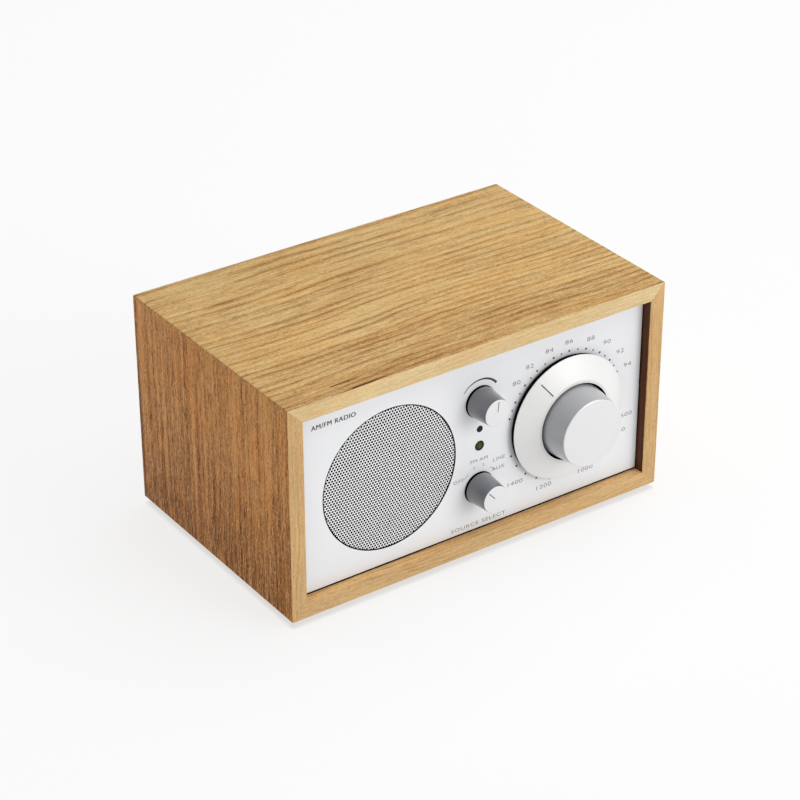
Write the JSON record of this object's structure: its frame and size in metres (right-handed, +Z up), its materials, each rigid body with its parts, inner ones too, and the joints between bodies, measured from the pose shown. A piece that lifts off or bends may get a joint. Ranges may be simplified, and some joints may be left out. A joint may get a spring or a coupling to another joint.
{
  "type": "table radio",
  "caption": "Tabletop radio in a mitred wooden box with a silver front panel, round speaker grille, two small knobs and a large geared tuning dial.",
  "frame": {"origin": "on the surface the radio stands on, in the middle of its box, knobs included", "axes": "+X to the right seen from the front, +Y from the front to the rear, +Z up"},
  "size_m": [0.2126, 0.15, 0.1143],
  "materials": {
    "veneer": "satin cherry-coloured veneer, honey brown, grain along each board",
    "plain_wood": "bare softwood",
    "foot_rubber": "black, matte",
    "silver_panel": "matte light silver",
    "grille_metal": "perforated, matte silver grey",
    "knob_metal": "satin, fine turning marks",
    "dial_metal": "satin silver",
    "lamp": "dark smoked lens",
    "steel": "zinc plated",
    "nickel": "nickel plated",
    "brass": "machined",
    "copper": "enamelled copper wire on a paper former",
    "aluminium": "bare",
    "black_metal": "black, satin",
    "black_plastic": "black, fine texture",
    "white_plastic": "off-white",
    "board": "green fibreglass circuit board",
    "cone_paper": "black felted paper",
    "surround_rubber": "soft black",
    "spider_cloth": "varnished cloth",
    "ferrite": "dark sintered ferrite"
  },
  "bodies": {
    "radio": {"cabinet_top": "veneer", "cabinet_bottom": "veneer", "cabinet_left": "veneer", "cabinet_right": "veneer", "left_batten": "plain_wood", "right_batten": "plain_wood", "foot_front_left": "foot_rubber", "foot_front_right": "foot_rubber", "foot_rear_left": "foot_rubber", "foot_rear_right": "foot_rubber", "front_panel": "silver_panel", "speaker_grille": "grille_metal", "power_led": "lamp", "tuning_led": "lamp", "volume_nut": "steel", "source_nut": "steel", "volume_potentiometer": "steel", "source_switch": "steel", "capacitor_frame": "steel", "speaker_top_plate": "steel", "speaker_yoke": "steel", "power_inlet": "nickel", "line_socket": "nickel", "headphone_socket": "nickel", "aerial_socket": "nickel", "capacitor_stator": "aluminium", "heat_sink": "aluminium", "speaker_basket": "black_metal", "rear_screw_1": "black_metal", "rear_screw_2": "black_metal", "rear_screw_3": "black_metal", "rear_screw_4": "black_metal", "rear_panel": "black_plastic", "bass_port": "black_plastic", "filter_capacitor": "black_plastic", "ring_gear": "white_plastic", "main_board": "board", "indicator_board": "board", "speaker_surround": "surround_rubber", "speaker_spider": "spider_cloth", "speaker_magnet": "ferrite", "ferrite_rod": "ferrite"},
    "volume_control": {"volume_knob": "knob_metal", "volume_shaft": "steel"},
    "source_control": {"source_knob": "knob_metal", "source_shaft": "steel"},
    "tuning_control": {"tuning_knob": "knob_metal", "tuning_shaft": "steel", "sun_gear": "brass"},
    "dial": {"dial_ring": "dial_metal", "planet_carrier": "steel", "carrier_plate": "steel", "capacitor_rotor": "brass"},
    "planet_1": {"planet_gear_1": "brass"},
    "planet_2": {"planet_gear_2": "brass"},
    "planet_3": {"planet_gear_3": "brass"},
    "cone_assembly": {"speaker_cone": "cone_paper", "dust_cap": "cone_paper", "voice_coil": "copper"},
    "aerial_switch": {"aerial_switch_slider": "white_plastic"}
  },
  "joints": [
    {"name": "volume_turn", "type": "hinge", "parent": "radio", "child": "volume_control", "pos_m": [0.0019, -0.05315, 0.0812], "axis": [0, 1, 0], "range_deg": [-156, 144]},
    {"name": "source_turn", "type": "hinge", "parent": "radio", "child": "source_control", "pos_m": [0.0019, -0.05315, 0.0349], "axis": [0, 1, 0], "range_deg": [0, 90]},
    {"name": "tuning_turn", "type": "hinge", "parent": "radio", "child": "tuning_control", "pos_m": [0.052, -0.05315, 0.0576], "axis": [0, 1, 0], "range_deg": [-190, 780]},
    {"name": "dial_turn", "type": "hinge", "parent": "radio", "child": "dial", "pos_m": [0.052, -0.05315, 0.0576], "axis": [0, 1, 0], "range_deg": [-39, 157]},
    {"name": "planet_turn_1", "type": "hinge", "parent": "dial", "child": "planet_1", "pos_m": [0.064, -0.03915, 0.0576], "axis": [0, 1, 0], "range_deg": [-418, 104]},
    {"name": "planet_turn_2", "type": "hinge", "parent": "dial", "child": "planet_2", "pos_m": [0.046, -0.03915, 0.06799], "axis": [0, 1, 0], "range_deg": [-418, 104]},
    {"name": "planet_turn_3", "type": "hinge", "parent": "dial", "child": "planet_3", "pos_m": [0.046, -0.03915, 0.04721], "axis": [0, 1, 0], "range_deg": [-418, 104]},
    {"name": "cone_travel", "type": "slide", "parent": "radio", "child": "cone_assembly", "axis": [0, -1, 0], "range_m": [-0.0015, 0.0015], "stiffness_N_per_m": 1500},
    {"name": "aerial_switch_travel", "type": "slide", "parent": "radio", "child": "aerial_switch", "axis": [1, 0, 0], "range_m": [0, 0.0068]}
  ],
  "couplings": [
    {"joint": "dial_turn", "follows": "tuning_turn", "ratio": 0.2},
    {"joint": "planet_turn_1", "follows": "tuning_turn", "ratio": -0.53333},
    {"joint": "planet_turn_2", "follows": "tuning_turn", "ratio": -0.53333},
    {"joint": "planet_turn_3", "follows": "tuning_turn", "ratio": -0.53333}
  ]
}
